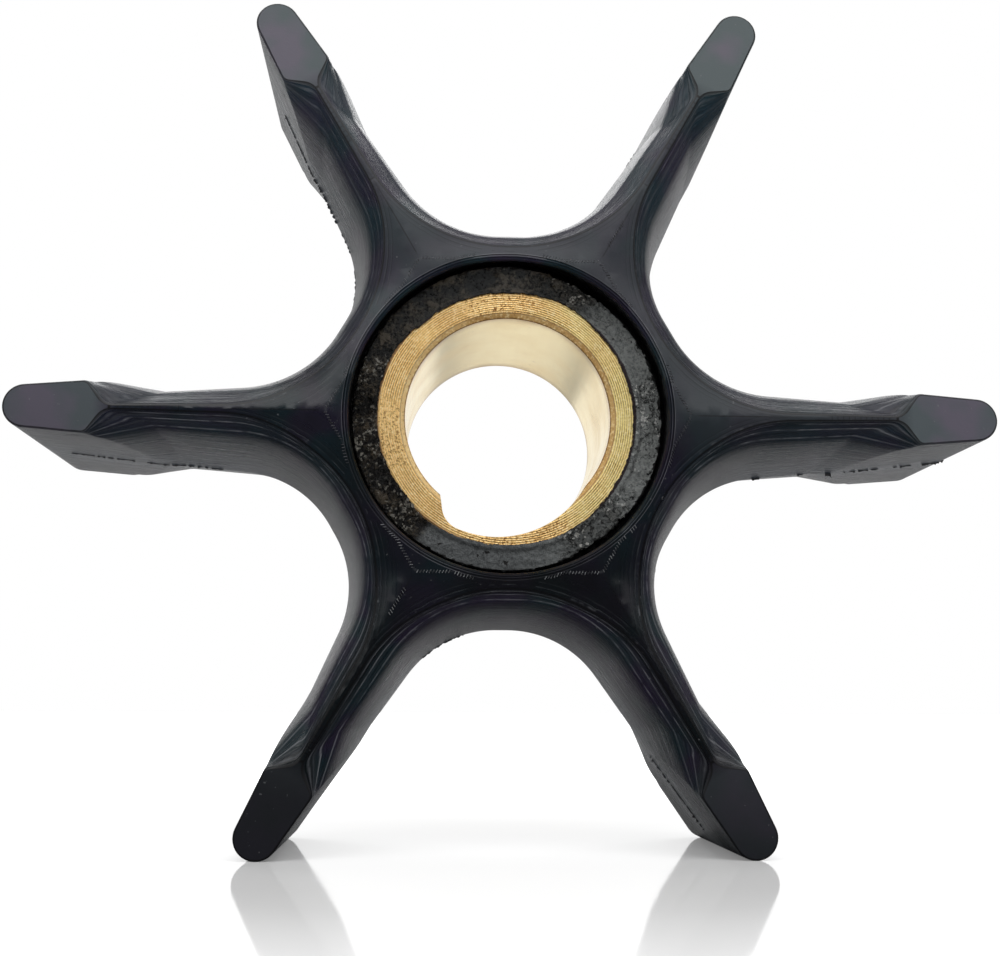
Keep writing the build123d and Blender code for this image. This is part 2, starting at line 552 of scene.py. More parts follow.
# --------------------------------------
# The brass bush
# --------------------------------------
def direction(angle):
    """Unit vector at an angle in degrees."""
    return spot(angle, 1.0)


def bore_outline(count=420):
    """Radius of the bore by angle: the cam recess's steep side, its round corner and its ramp."""
    floor_radius = bore_radius - cam_tightening
    floor_centre = (bore_radius + cam_depth - floor_radius) * direction(cam_angle)
    foot = bore_radius * direction(cam_step_angle)
    down, inward = direction(cam_step_lean - 90), direction(cam_step_lean)
    to_corner = foot + inward * cam_corner_radius - floor_centre
    along = to_corner @ down
    slack = (floor_radius - cam_corner_radius) ** 2 - to_corner @ to_corner
    run = sqrt(along * along + slack) - along
    corner_centre = floor_centre + to_corner + down * run
    on_side = foot + down * run
    out = corner_centre - floor_centre
    on_floor = floor_centre + out / hypot(*out) * floor_radius
    corner_start = atan2(on_side[1], on_side[0]) % (2 * pi)
    corner_end = atan2(on_floor[1], on_floor[0]) % (2 * pi)
    angles = np.sort(np.concatenate((np.arange(count) * 2 * pi / count,
                                     np.linspace(radians(cam_step_angle), corner_end, 60))))
    radii = []
    for angle in angles:
        ray = np.array((cos(angle), sin(angle)))

        def far_side(centre, radius):
            reach = ray @ centre
            return reach + sqrt(max(0.0, reach * reach - centre @ centre + radius * radius))

        lobe = far_side(floor_centre, floor_radius)
        if ray @ inward < 0:
            lobe = min(lobe, (foot @ inward) / (ray @ inward))
        if corner_start < angle < corner_end:
            lobe = far_side(corner_centre, cam_corner_radius)
        radii.append(max(bore_radius, lobe))
    return angles, np.array(radii)


# how pitted the end faces are, by angle
brass_wear = [(0, 0), (70, 0), (82, 1), (108, 1), (116, 0), (168, 0), (178, 0.8), (202, 0.8),
              (210, 0), (244, 0), (252, 1), (296, 1), (304, 0), (360, 0)]
turned, chamfered, drawn = range(3)      # the bush's materials


def brass_bush(materials):
    """The bush: outer surface, both end faces, mouth chamfers and the bore."""
    angles, bore = bore_outline()
    count = len(angles)
    rows, kinds = [], []

    def add(radius, y, kind):
        rows.append(columns(radius * np.cos(angles), y, radius * np.sin(angles)))
        kinds.append(kind)

    mouth = np.maximum(bore, bore_radius + mouth_chamfer)
    face_radius = bush_radius - 0.12
    add(bush_radius, -bush_half + 0.12, turned)
    add(bush_radius - 0.04, -bush_half + 0.03, turned)
    add(face_radius, -bush_half, turned)
    for share in np.linspace(0, 1, 7)[1:]:
        add(face_radius * (1 - share) + (mouth + 0.03) * share, -bush_half, turned)
    add(mouth, -bush_half + 0.012, chamfered)
    for depth in np.linspace(0.1, 0.9, 4) * mouth_chamfer:
        add(np.maximum(bore, bore_radius + mouth_chamfer - depth), -bush_half + depth, chamfered)
    add(bore, -bush_half + mouth_chamfer * 1.05, drawn)
    front_rows, front_kinds = rows[::-1], kinds[::-1]
    for y in np.linspace(-bush_half + 1.0, bush_half - 1.0, 16):
        add(bore, y, drawn)
    rows += [row * (1, -1, 1) for row in front_rows]
    kinds += front_kinds

    faces = grid_faces(len(rows), count) + band((len(rows) - 1) * count, 0, count)
    piece = make_piece("bush_detail", np.vstack(rows), faces, materials, 30)
    kind = np.repeat([max(pair) for pair in zip(kinds, kinds[1:])] + [turned], count)
    piece.data.polygons.foreach_set("material_index", kind.astype(np.int32))
    wear = by_angle(brass_wear, np.degrees(angles))
    store(piece, "wear", columns(np.tile(wear, len(rows)), 0.0, 0.0))
    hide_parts("brass_bush")


# --------------------------------------
# Small marks that moulding leaves
# --------------------------------------
def stitch_marks(material):
    """Short raised ticks along the ridges of both end faces."""
    points, faces = [], []

    def tick(at, ridge, end, length):
        """A low six-cornered mound that slants across its ridge, given by its direction."""
        square = np.array((-ridge[1], ridge[0]))
        across, along = square + 0.5 * ridge, ridge - 0.5 * square
        start = len(points)
        spots = np.array([at + across * length / 2 * i + along * tick_width / 2 * j
                          for i, j in ((-1, -0.6), (-0.75, 0), (-1, 0.6), (1, 0.6), (0.75, 0),
                                       (1, -0.6), (-0.6, 0), (0.6, 0))])
        deep = face_fall * fall(spots) + ([tick_foot] * 6 + [-tick_height] * 2)
        for (x, z), depth in zip(spots, deep):
            points.append((x, end * (half_width - depth), z))
        for corners in ((0, 1, 6), (1, 2, 6), (2, 3, 7, 6), (3, 4, 7), (4, 5, 7), (5, 0, 6, 7)):
            faces.append([start + i for i in corners][::-end])

    for end in (-1, 1):
        for number in range(vane_count):
            axis = direction(vane_pitch * number)
            if number in ticked_vanes:
                for index, along in enumerate(np.arange(16.4, 18.8, tick_pitch)):
                    tick(axis * along, axis, end, 0.3 + 0.1 * wave(index * 0.7, number))
            arch = vane_pitch * number + half_pitch
            for index, across in enumerate(np.arange(-7.2, 7.21, tick_pitch)):
                at = spot(arch, ridge_apothem, across)
                at *= max(1.0, (rim_radius + 0.2) / hypot(*at))
                if abs(across) > 2.6 and wave(across, number * 3.0, end * 2) > -0.45:
                    tick(at, spot(arch, 0.0, 1.0), end,
                         0.3 + 0.12 * wave(index * 0.6, number))
    make_piece("stitch_marks", bend(np.array(points)), faces, [material], 60)


# Flash by vane and side (+1 is counter-clockwise): from and to along the vane, and height
flash_stretches = {
    (0, -1): [(21.8, 22.7, 0.16), (26.0, 26.6, 0.08), (28.5, 29.1, 0.26), (30.2, 33.3, 0.11),
              (34.6, 36.3, 0.12), (37.2, 39.2, 0.16)],
    (2, 1): [(17.0, 19.5, 0.05), (21.0, 23.0, 0.05), (24.0, 35.2, 0.11)],
    (3, 1): [(24.0, 30.5, 0.08), (31.5, 37.0, 0.08)],
    (5, -1): [(30.0, 37.5, 0.1)],
    (1, 1): [(18.0, 20.5, 0.07), (27.0, 31.0, 0.06)],
    (5, 1): [(16.5, 18.5, 0.08)],
    (0, 1): [(17.0, 19.0, 0.06)],
    (3, -1): [(16.0, 18.5, 0.07)],
    (4, 1): [(16.5, 20.0, 0.07)],
}


def parting_flash(material):
    """Torn flakes of flash along the parting line."""
    points, faces = [], []
    side = vane_side(parting_level)
    length = way_along(side)
    stations = np.arange(0.3, length[-1] - 0.4, 0.1)
    u = np.interp(stations, length, side[:, 0])
    v = np.interp(stations, length, side[:, 1])
    du, dv = np.gradient(u), np.gradient(v)
    normal = np.stack((-dv, du), 1) / np.hypot(du, dv)[:, None]
    for (number, hand), stretches in flash_stretches.items():
        seed = number * 11.0 + hand * 3.0
        previous = None
        for s, along in enumerate(u):
            tall = max([height for first, last, height in stretches if first <= along <= last],
                       default=0.0)
            tall *= 0.7 + 1.6 * wave(s * 0.42, seed) + 0.8 * wave(s * 1.7, seed + 5)
            if tall < 0.02:
                previous = None
                continue
            row = len(points)
            base = np.array((u[s], v[s] * hand))
            out = normal[s] * (1, hand)
            waver = 0.06 * wave(s * 0.3, seed + 2)
            for place, y in ((base - out * 0.05, -0.09), (base + out * tall, -0.03),
                             (base + out * tall, 0.03), (base - out * 0.05, 0.09)):
                x, z = spot(vane_pitch * number, *place)
                points.append((x, y + waver, z))
            if previous is not None:
                faces += [(previous + k, previous + k + 1, row + k + 1, row + k) for k in range(3)]
            previous = row
    make_piece("parting_flash", bend(np.array(points)), faces, [material], 60)


# --------------------------------------
# Materials
# --------------------------------------
def as_colour(value):
    """Four channels from three, or from one grey."""
    return (*value, 1.0) if isinstance(value, tuple) else (value, value, value, 1.0)


class Graph:
    """A material's node tree, with short calls to add nodes to it."""

    def __init__(self, name, owner=None):
        self.material = owner or bpy.data.materials.new(name)
        self.material.use_nodes = True
        self.tree = self.material.node_tree
        self.tree.nodes.clear()

    def add(self, kind, _inputs=None, **settings):
        """A shader node with its inputs linked or set."""
        node = self.tree.nodes.new("ShaderNode" + kind)
        for key, value in settings.items():
            setattr(node, key, value)
        for key, value in (_inputs or {}).items():
            socket = node.inputs[key]
            if isinstance(value, bpy.types.NodeSocket):
                self.tree.links.new(value, socket)
            else:
                socket.default_value = as_colour(value) if socket.type == "RGBA" else value
        return node

    def out(self, kind, _inputs=None, **settings):
        """The first output of such a node."""
        return self.add(kind, _inputs, **settings).outputs[0]

    def math(self, operation, a, b=0.0, clamp=False):
        return self.out("Math", {0: a, 1: b}, operation=operation, use_clamp=clamp)

    def plus(self, a, b):
        return self.math("ADD", a, b)

    def minus(self, a, b):
        return self.math("SUBTRACT", a, b)

    def times(self, a, b, clamp=False):
        return self.math("MULTIPLY", a, b, clamp)

    def ramp(self, factor, *stops):
        """A colour ramp; each stop is its position and its colour or grey."""
        node = self.add("ValToRGB", {0: factor})
        elements = node.color_ramp.elements
        while len(elements) < len(stops):
            elements.new(0.5)
        for element, (position, colour) in zip(elements, stops):
            element.position = position
            element.color = as_colour(colour)
        return node.outputs[0]

    def rise(self, factor, low, high, top=1.0):
        """A ramp from black up to a grey."""
        return self.ramp(factor, (low, 0.0), (high, top))

    def sink(self, factor, low, high, top=1.0):
        """A ramp from a grey down to black."""
        return self.ramp(factor, (low, top), (high, 0.0))

    def line(self, value, at, half):
        """1 where the value is right at a place, falling to 0 half a width away."""
        off = self.math("ABSOLUTE", self.minus(value, at))
        return self.math("SUBTRACT", 1.0, self.math("DIVIDE", off, half), clamp=True)

    def between(self, value, low, high):
        """Rises from 0 to 1 between two values."""
        return self.math("DIVIDE", self.minus(value, low), high - low, clamp=True)

    def place(self):
        """Where a point is, in metres in the shared frame."""
        return self.add("TexCoord").outputs["Object"]

    def parts(self, vector):
        """The x, y and z of a vector."""
        return self.add("SeparateXYZ", {0: vector}).outputs

    def length(self, vector):
        return self.add("VectorMath", {0: vector}, operation="LENGTH").outputs[1]

    def attribute(self, name):
        return self.add("Attribute", attribute_name=name).outputs["Vector"]

    def axis_distance(self, place):
        """Millimetres from the bore's axis."""
        return self.length(self.scaled(place, (1000, 0, 1000)))

    def scaled(self, vector, scale):
        return self.out("VectorMath", {0: vector, 1: scale}, operation="MULTIPLY")

    def noise(self, vector, scale, detail=4.0, roughness=0.55, distortion=0.0):
        return self.out("TexNoise", {"Vector": vector, "Scale": scale, "Detail": detail,
                                     "Roughness": roughness, "Distortion": distortion})

    def cells(self, vector, scale):
        """A grey that differs from one small cell to the next."""
        node = self.add("TexVoronoi", {"Vector": vector, "Scale": scale})
        return self.parts(node.outputs["Color"])[0]

    def mix(self, factor, a, b, blend="MIX"):
        return self.add("Mix", {0: factor, 6: a, 7: b}, data_type="RGBA",
                        blend_type=blend).outputs[2]

    def paint(self, base, tone, *masks):
        """A tone laid over the base, as strongly as all the masks together allow."""
        mask = masks[0]
        for other in masks[1:]:
            mask = self.times(mask, other)
        return self.mix(mask, base, tone)

    def bump(self, height, distance, strength=1.0, normal=None):
        inputs = {"Height": height, "Distance": distance, "Strength": strength}
        if normal is not None:
            inputs["Normal"] = normal
        return self.out("Bump", inputs)

    def finish(self, **sockets):
        names = {"base": "Base Color", "roughness": "Roughness", "metallic": "Metallic",
                 "normal": "Normal", "specular": "Specular IOR Level"}
        shader = self.out("BsdfPrincipled",
                          {names[key]: value for key, value in sockets.items()})
        self.add("OutputMaterial", {0: shader})
        return self.material


def rubber_fields(g):
    """What the rubber's looks depend on at each place, and the noises that they share."""
    f = SimpleNamespace(place=g.place(), flow=g.attribute("flow"))
    _, f.depth, f.trench = g.parts(f.flow)
    f.in_ring, f.rough, f.grey = g.parts(g.attribute("ring"))
    f.along, f.across, f.outside = g.parts(g.attribute("vane"))
    f.right, _, f.height = g.parts(f.place)
    f.radius = g.axis_distance(f.place)

    f.on_wall = g.math("GREATER_THAN", f.depth, 0.06)
    f.on_face = g.times(g.minus(1.0, f.on_wall), g.math("GREATER_THAN", f.depth, -5.9))
    f.on_bulb = g.times(f.on_face, g.between(f.along, 31.2, 33.0))
    f.in_arch = g.between(f.along, 22.0, 17.0)
    f.low_web = g.times(g.between(f.height, -0.008, -0.014), g.between(f.along, 33.0, 31.0))
    to_right = g.plus(f.height, g.times(f.right, 0.5))
    f.upper_hub = g.times(f.on_face, g.between(to_right, 0.003, 0.010))

    f.streaks = g.noise(g.scaled(f.flow, (0.10, 4.8, 0.5)), 1.0, 5.0, 0.62, 0.3)
    f.fine_streaks = g.noise(g.scaled(f.flow, (0.25, 14.0, 1.2)), 1.0, 3.0, 0.6)
    f.broken = g.ramp(g.noise(g.scaled(f.flow, (0.45, 0.0, 1.0)), 1.0, 4.0, 0.6),
                      (0.40, 0.1), (0.60, 1.0))
    f.clouds = g.noise(f.place, 150.0, 3.0, 0.5)
    f.tint = g.noise(f.place, 260.0, 2.0, 0.5)
    f.crumbs = g.noise(f.place, 3800.0, 5.0, 0.7)
    f.lumps = g.noise(f.place, 620.0, 4.0, 0.65)
    return f


def moulded_tone(g, f):
    """Lighter on the upper vanes and darker towards the feet, as painted light and shade by height,
    mottled and tinted.
    """
    # painted light and shade: lighter the higher the point, near black at the feet
    painted_height_light = g.plus(g.times(f.height, 11.0), g.times(f.clouds, 0.55))
    base = g.ramp(g.plus(painted_height_light, 0.25), (0.3, (0.0014, 0.0022, 0.0032)),
                  (0.6, (0.0055, 0.0075, 0.0115)), (0.95, (0.016, 0.0185, 0.026)))
    cast = g.mix(g.rise(f.tint, 0.40, 0.60), (0.45, 1.35, 1.30), (1.45, 0.85, 1.45))
    return g.mix(1.0, base, cast, "MULTIPLY")


def wall_tones(g, f, base):
    """Walls: darker and bluish on the lower bevels, painted light from the floor that is paler the
    lower the wall and towards the parting line of the lower webs, and streaked.
    """
    # painted light from the floor: paler the lower the wall
    painted_floor_light = g.ramp(g.plus(g.times(f.height, 14.0), 0.5),
                       (0.15, (0.105, 0.115, 0.125)), (0.4, (0.017, 0.026, 0.040)))
    share = g.minus(0.28, g.times(g.math("MAXIMUM", f.in_arch, f.low_web), 0.22))
    base = g.paint(base, painted_floor_light, g.between(f.depth, 0.2, 0.35), share)
    # darker and bluish on the lower half of the bevels
    low_bevel_tone = g.mix(g.rise(f.tint, 0.42, 0.58), (0.003, 0.013, 0.018), (0.011, 0.007, 0.022))
    base = g.paint(base, low_bevel_tone, g.between(f.depth, 0.2, 0.6), g.between(f.height, 0.0, -0.012),
                   0.85)
    # more of the painted floor light towards the parting line, and dark in the arches
    deep = g.between(g.minus(f.depth, g.times(f.low_web, 0.8)), 4.5, 9.0)
    base = g.paint(base, g.mix(f.in_arch, painted_floor_light, (0.014, 0.017, 0.022)), deep)
    base = g.paint(base, (0.030, 0.034, 0.041), f.on_wall, g.rise(f.streaks, 0.50, 0.68, 0.6))
    return g.paint(base, (0.001, 0.001, 0.002), f.on_wall,
                   g.sink(f.fine_streaks, 0.34, 0.46, 0.4))


def worn_marks(g, f, base):
    """Worn lines on the bevel, and contours, ridges and scuffed edges on the end faces."""
    # half way down the bevel and along its lower edge, fainter at the top
    worn = g.times(f.broken, g.minus(1.0, g.times(g.between(f.height, 0.006, 0.012), 0.65)))
    for at, strength in ((0.5, 0.6), (1.02, 0.45)):
        base = g.paint(base, (0.20, 0.205, 0.22), g.line(f.depth, at, 0.05), worn, strength)

    # contours that follow the arches, each dark with a light edge
    for at, strength in ((-0.30, 0.6), (-0.62, 0.35)):
        fade = g.times(g.times(f.on_face, strength), g.between(f.along, 24.0, 19.0))
        base = g.paint(base, (0.001, 0.002, 0.003), g.line(f.depth, at, 0.05), fade)
        base = g.paint(base, (0.05, 0.055, 0.06), g.line(f.depth, at + 0.08, 0.04), fade,
                       f.broken)

    # the ridge along each vane, and the hexagon of ridges that joins them
    base = g.paint(base, (0.002, 0.002, 0.003), g.line(f.across, 0.0, 0.08),
                   g.between(f.along, 15.0, 15.4), f.on_face, g.between(f.along, 24.0, 20.0), 0.8)
    base = g.paint(base, (0.05, 0.052, 0.058), g.line(f.outside, 0.0, 0.06), f.on_face, 0.35)

    # where the arches run into the webs
    flecks = g.rise(g.noise(f.place, 1500.0, 3.0, 0.6), 0.56, 0.68)
    return g.paint(base, (0.07, 0.073, 0.08), g.line(f.depth, -0.1, 0.1),
                   g.line(f.along, 19.0, 5.0), flecks)


def recess_painted_light_and_shade(g, f, base):
    """Painted highlights and shade on the grooves in the recess's shoulder, light and dark by
    turns, and painted shade that makes its wall black.
    """
    patchy = g.ramp(f.clouds, (0.4, 0.25), (0.6, 1.0))
    # painted highlight and painted shade: a light and a dark line on each groove
    for light_at, dark_at, light_strength, dark_strength, tone in (
            (13.42, 13.34, 0.8, 0.9, 0.16), (13.20, 13.08, 0.7, 0.7, 0.12)):
        base = g.paint(base, (tone, tone, tone * 1.1), g.line(f.radius, light_at, 0.03),
                       light_strength, patchy)
        base = g.paint(base, (0.001, 0.001, 0.0011), g.line(f.radius, dark_at, 0.05),
                       dark_strength)
    # painted shade: the recess's wall is black
    return g.paint(base, (0.001, 0.001, 0.0015), g.between(f.depth, -6.2, -6.5),
                   g.between(f.depth, -8.6, -8.2))


def bulbs_and_edges(g, f, base):
    """Chalky end faces on the bulbs, painted lighter on the upper ones and near black on the lower
    ones as painted light and shade; a painted shade line round all faces with a broken painted
    highlight beside it; dust.
    """
    # chalky tone with painted light and shade: lighter the higher and further right the bulb
    lean = g.plus(g.times(f.height, 12.0), g.times(f.right, 2.0))
    chalk_and_painted_light = g.ramp(g.plus(lean, 0.5), (0.1, (0.005, 0.0055, 0.009)),
                   (0.5, (0.070, 0.070, 0.082)), (0.9, (0.088, 0.090, 0.099)))
    mottle = g.mix(g.rise(f.tint, 0.4, 0.6), (0.78, 0.96, 0.92), (1.12, 1.0, 1.16))
    base = g.mix(f.on_bulb, base, g.mix(1.0, chalk_and_painted_light, mottle, "MULTIPLY"))
    # painted shade along the edge of the end faces, and a broken painted highlight on the rounded
    # edge below it
    base = g.paint(base, (0.001, 0.001, 0.0015), g.line(f.depth, 0.0, 0.07))
    base = g.paint(base, (0.12, 0.125, 0.14), g.line(f.depth, 0.15, 0.06), f.broken, 0.45)
    specks = g.rise(g.noise(f.place, 3600.0, 1.0, 0.4), 0.765, 0.80)
    return g.paint(base, (0.14, 0.145, 0.15), specks, 0.4)


def torn_tone(g, f, painted_glints):
    """Where the ring's rubber has torn: black and brown crumbs with painted glints."""
    torn = g.mix(g.rise(f.crumbs, 0.46, 0.60), (0.003, 0.0022, 0.0015), (0.050, 0.040, 0.026))
    torn = g.paint(torn, (0.0012, 0.001, 0.0008), g.sink(f.lumps, 0.44, 0.49, 0.95))
    torn = g.paint(torn, (0.075, 0.060, 0.042), g.rise(f.lumps, 0.53, 0.60, 0.7))
    # painted glints on the crumbs
    return g.paint(torn, (0.24, 0.23, 0.20), painted_glints, 0.8)


def skin_tone(g, f, painted_glints, pits):
    """Where the ring has kept its skin: chalky grey, lighter to the right, pitted, with painted
    glints, dark-rimmed.
    """
    skin = g.mix(g.rise(f.crumbs, 0.38, 0.58), (0.046, 0.050, 0.052), (0.084, 0.090, 0.092))
    skin = g.mix(g.times(f.right, 75.0, clamp=True), skin,
                 g.mix(1.0, skin, (2.6, 2.55, 2.4), "MULTIPLY"))
    pitted = g.minus(1.0, g.times(g.between(f.grey, 0.7, 0.95), 0.75))
    skin = g.paint(skin, 0.004, g.sink(f.crumbs, 0.42, 0.46), pitted, f.rough)
    skin = g.paint(skin, 0.002, g.sink(pits, 0.31, 0.33))
    # painted glints on the skin
    skin = g.paint(skin, (0.50, 0.50, 0.48), painted_glints)
    near_rim = g.plus(g.between(f.radius, 11.9, 12.9), g.times(pits, 1.4))
    near_rim = g.plus(near_rim, g.times(f.rough, 0.12))
    return g.paint(skin, 0.002, g.between(near_rim, 1.34, 1.37))


def ring_tone(g, f):
    """The torn ring: crumbs and skin, a brown line of painted shade at the bush, cracks, and a
    black gap at its rim that is painted shade.
    """
    pits = g.noise(f.place, 1300.0, 3.0, 0.6)
    patches = g.noise(f.place, 380.0, 3.0, 0.6)
    # painted glints: small cells painted light, most where the ring is rough
    painted_glint_field = g.plus(g.cells(f.place, 5600.0), g.times(g.minus(patches, 0.5), 1.3))
    painted_glint_field = g.plus(painted_glint_field, g.times(g.minus(f.rough, 1.0), 0.6))
    painted_glints = g.between(painted_glint_field, 0.82, 0.94)
    ring = g.mix(f.grey, torn_tone(g, f, painted_glints), skin_tone(g, f, painted_glints, pits))
    # painted shade: a brown line where the ring meets the brass
    bush_edge_shade = g.plus(g.between(f.radius, 10.8, 10.35), g.times(f.crumbs, 0.9))
    ring = g.paint(ring, (0.016, 0.008, 0.011), g.between(bush_edge_shade, 1.1, 1.2))
    cracks = g.times(g.line(f.lumps, 0.54, 0.02), g.plus(f.rough, 0.3), clamp=True)
    ring = g.paint(ring, 0.001, cracks)
    # painted shade: the gap at the rim is black
    gap = g.between(g.plus(f.trench, g.times(f.crumbs, 0.8)), 0.75, 0.9)
    return g.paint(ring, 0.001, gap)


def rubber_roughness(g, f):
    """Glossy walls with streaks, duller arches, upper hub and bulbs; the ring by its tone."""
    roughness = g.ramp(f.streaks, (0.3, 0.24), (0.7, 0.36))
    roughness = g.paint(roughness, 0.34, g.between(f.depth, 0.6, 2.5), f.in_arch)
    roughness = g.paint(roughness, 0.46, f.upper_hub)
    roughness = g.paint(roughness, 0.5, f.on_bulb)
    torn_gloss = g.ramp(f.crumbs, (0.35, 0.15), (0.65, 0.4))
    return g.mix(f.in_ring, roughness, g.mix(f.grey, torn_gloss, 0.5))


def rubber_relief(g, f):
    """Soft dents, streaks along the walls, scratches, grain, and the ring's crumbs."""
    scratches = g.noise(g.scaled(f.place, (700.0, 900.0, 5200.0)), 1.0, 2.0, 0.5, 0.4)
    grain = g.noise(f.place, 7000.0, 3.0, 0.65)
    crumbled = g.times(g.plus(f.crumbs, g.times(f.lumps, 1.5)), f.in_ring)
    normal = g.bump(f.clouds, 0.0001, 0.2)
    normal = g.bump(g.times(f.streaks, f.on_wall), 0.00011, 1.0, normal)
    normal = g.bump(g.times(f.fine_streaks, f.on_wall), 0.00006, 1.0, normal)
    normal = g.bump(scratches, 0.00001, 0.35, normal)
    normal = g.bump(grain, 0.000008, 0.7, normal)
    return g.bump(g.times(crumbled, g.plus(f.rough, 0.15)), 0.0004, 1.0, normal)


def rubber_material():
    """Near-black moulded rubber, with its torn ring."""
    g = Graph("moulded_rubber")
    f = rubber_fields(g)
    base = wall_tones(g, f, moulded_tone(g, f))
    # painted light: the upper and right part of the hub face is lighter
    base = g.paint(base, (0.030, 0.034, 0.040), f.upper_hub, 0.6)
    base = worn_marks(g, f, base)
    base = recess_painted_light_and_shade(g, f, base)
    base = bulbs_and_edges(g, f, base)
    base = g.mix(f.in_ring, base, ring_tone(g, f))
    return g.finish(base=base, roughness=rubber_roughness(g, f), normal=rubber_relief(g, f),
                    specular=0.34)


def flash_material():
    """Dry torn rubber, duller than the walls."""
    g = Graph("torn_rubber")
    place = g.place()
    torn = g.noise(place, 3500.0, 4.0, 0.6)
    base = g.mix(torn, (0.012, 0.012, 0.014), (0.05, 0.05, 0.054))
    return g.finish(base=base, roughness=g.ramp(torn, (0.3, 0.5), (0.7, 0.8)),
                    normal=g.bump(torn, 0.00005))


def tick_material():
    """The ridges' ticks, painted lighter than the face round them as painted highlights, most on
    the lowest ones.
    """
    g = Graph("raised_rubber")
    place = g.place()
    worn = g.noise(place, 1800.0, 3.0, 0.6)
    # painted highlights: lightest on the lowest ticks, darkest at mid height
    low = g.ramp(g.plus(g.times(g.parts(place)[2], 25.0), 0.5),
                 (0.15, (0.36, 0.37, 0.38)), (0.4, (0.10, 0.10, 0.11)),
                 (0.9, (0.16, 0.16, 0.18)))
    base = g.mix(g.rise(worn, 0.42, 0.56), (0.04, 0.041, 0.045), low)
    return g.finish(base=base, roughness=g.ramp(worn, (0.3, 0.3), (0.7, 0.5)),
                    normal=g.bump(worn, 0.00002))


def turned_brass():
    """The bush's end faces: fine turning lines, a grainy bloom, a brown stain and painted shade at
    the outer edge.
    """
    g = Graph("turned_brass")
    place = g.place()
    radius = g.axis_distance(place)
    stain = g.noise(place, 260.0, 4.0, 0.6)
    grain = g.noise(place, 5200.0, 4.0, 0.7)
    drift = g.noise(place, 500.0, 2.0, 0.5)
    phase = g.plus(g.times(radius, 2 * pi / turning_pitch), g.times(drift, 3.0))
    lines = g.plus(g.times(g.math("SINE", phase), 0.5), 0.5)
    pitted = g.parts(g.attribute("wear"))[0]
    side = g.plus(g.times(g.parts(place)[0], 40.0), g.times(stain, 0.9))
    base = g.ramp(side, (0.1, (0.99, 0.69, 0.29)), (0.5, (0.88, 0.57, 0.22)),
                  (0.85, (1.0, 0.86, 0.38)))
    cut = g.times(g.math("POWER", lines, 1.6), g.ramp(drift, (0.35, 0.45), (0.6, 0.95)))
    base = g.paint(base, (0.36, 0.20, 0.06), cut, g.minus(1.0, g.times(pitted, 0.7)))
    base = g.paint(base, (1.0, 0.90, 0.58), g.rise(grain, 0.50, 0.64, 0.6))
    base = g.paint(base, (0.26, 0.12, 0.04), g.sink(grain, 0.40, 0.47),
                   g.plus(g.times(pitted, 0.75), 0.2))
    # painted shade: a dark brown band at the outer edge, where the rubber meets the brass
    brass_edge_shade = g.plus(g.between(radius, 10.2, 10.7), g.times(grain, 0.6))
    base = g.paint(base, (0.22, 0.10, 0.06), g.between(brass_edge_shade, 0.9, 1.1), 0.7)
    normal = g.bump(lines, 0.00002, 0.8)
    normal = g.bump(grain, 0.00004, 0.7, normal)
    return g.finish(base=base, metallic=1.0, roughness=g.ramp(grain, (0.3, 0.50), (0.7, 0.66)),
                    normal=normal)


def mouth_brass():
    """The chamfer at the bore's mouth: dull, flaked, painted lighter on its left side as painted
    light, with a brown line at each edge.
    """
    g = Graph("mouth_brass")
    place = g.place()
    radius = g.axis_distance(place)
    flakes = g.noise(place, 3800.0, 4.0, 0.65)
    stain = g.noise(place, 300.0, 3.0, 0.6)
    base = g.mix(g.rise(stain, 0.4, 0.62), (0.58, 0.35, 0.12), (0.74, 0.50, 0.21))
    # painted light: the chamfer is paler on its left side
    base = g.paint(base, (0.92, 0.68, 0.33), g.between(g.parts(place)[0], -0.003, -0.008))
    base = g.paint(base, (1.0, 0.84, 0.48), g.rise(flakes, 0.52, 0.64, 0.7))
    base = g.paint(base, (0.36, 0.19, 0.06), g.sink(flakes, 0.36, 0.42, 0.6))
    ragged = g.plus(radius, g.times(g.minus(flakes, 0.5), 0.2))
    for at, half, strength in ((8.79, 0.06, 0.8), (8.42, 0.09, 0.75)):
        base = g.paint(base, (0.24, 0.12, 0.04), g.line(ragged, at, half), strength)
    return g.finish(base=base, metallic=0.45, roughness=0.6, normal=g.bump(flakes, 0.00003, 0.8))


def bore_brass():
    """The drawn bore: pale and smooth, browner towards its mouths, with a few specks."""
    g = Graph("bore_brass")
    place = g.place()
    from_middle = g.times(g.math("ABSOLUTE", g.parts(place)[1]), 1000.0)
    stain = g.noise(place, 200.0, 4.0, 0.6)
    drawn = g.noise(g.scaled(place, (2500.0, 120.0, 2500.0)), 1.0, 3.0, 0.6)
    base = g.mix(g.rise(stain, 0.4, 0.7), (0.98, 0.82, 0.46), (0.94, 0.74, 0.38))
    base = g.mix(g.sink(drawn, 0.3, 0.6, 0.12), base, (0.70, 0.50, 0.24))
    edge = g.between(g.plus(from_middle, g.times(stain, 1.8)), 7.2, 9.1)
    base = g.mix(g.math("POWER", edge, 2.0), base, (0.42, 0.26, 0.10))
    specks = g.rise(g.noise(place, 1700.0, 2.0, 0.5), 0.74, 0.78, 0.8)
    base = g.mix(specks, base, (0.40, 0.26, 0.12))
    return g.finish(base=base, metallic=1.0, roughness=g.ramp(stain, (0.3, 0.16), (0.7, 0.28)),
                    normal=g.bump(drawn, 0.000008, 0.5))


# --------------------------------------
# Floor, light and camera
# --------------------------------------
floor_reach = 3.0                               # metres
camera_place = (-6.747, -118.016, -23.397)
camera_turns = (0.16602, -0.0548, -0.01299)     # radians: pitch, yaw, roll
camera_lens = 49.62


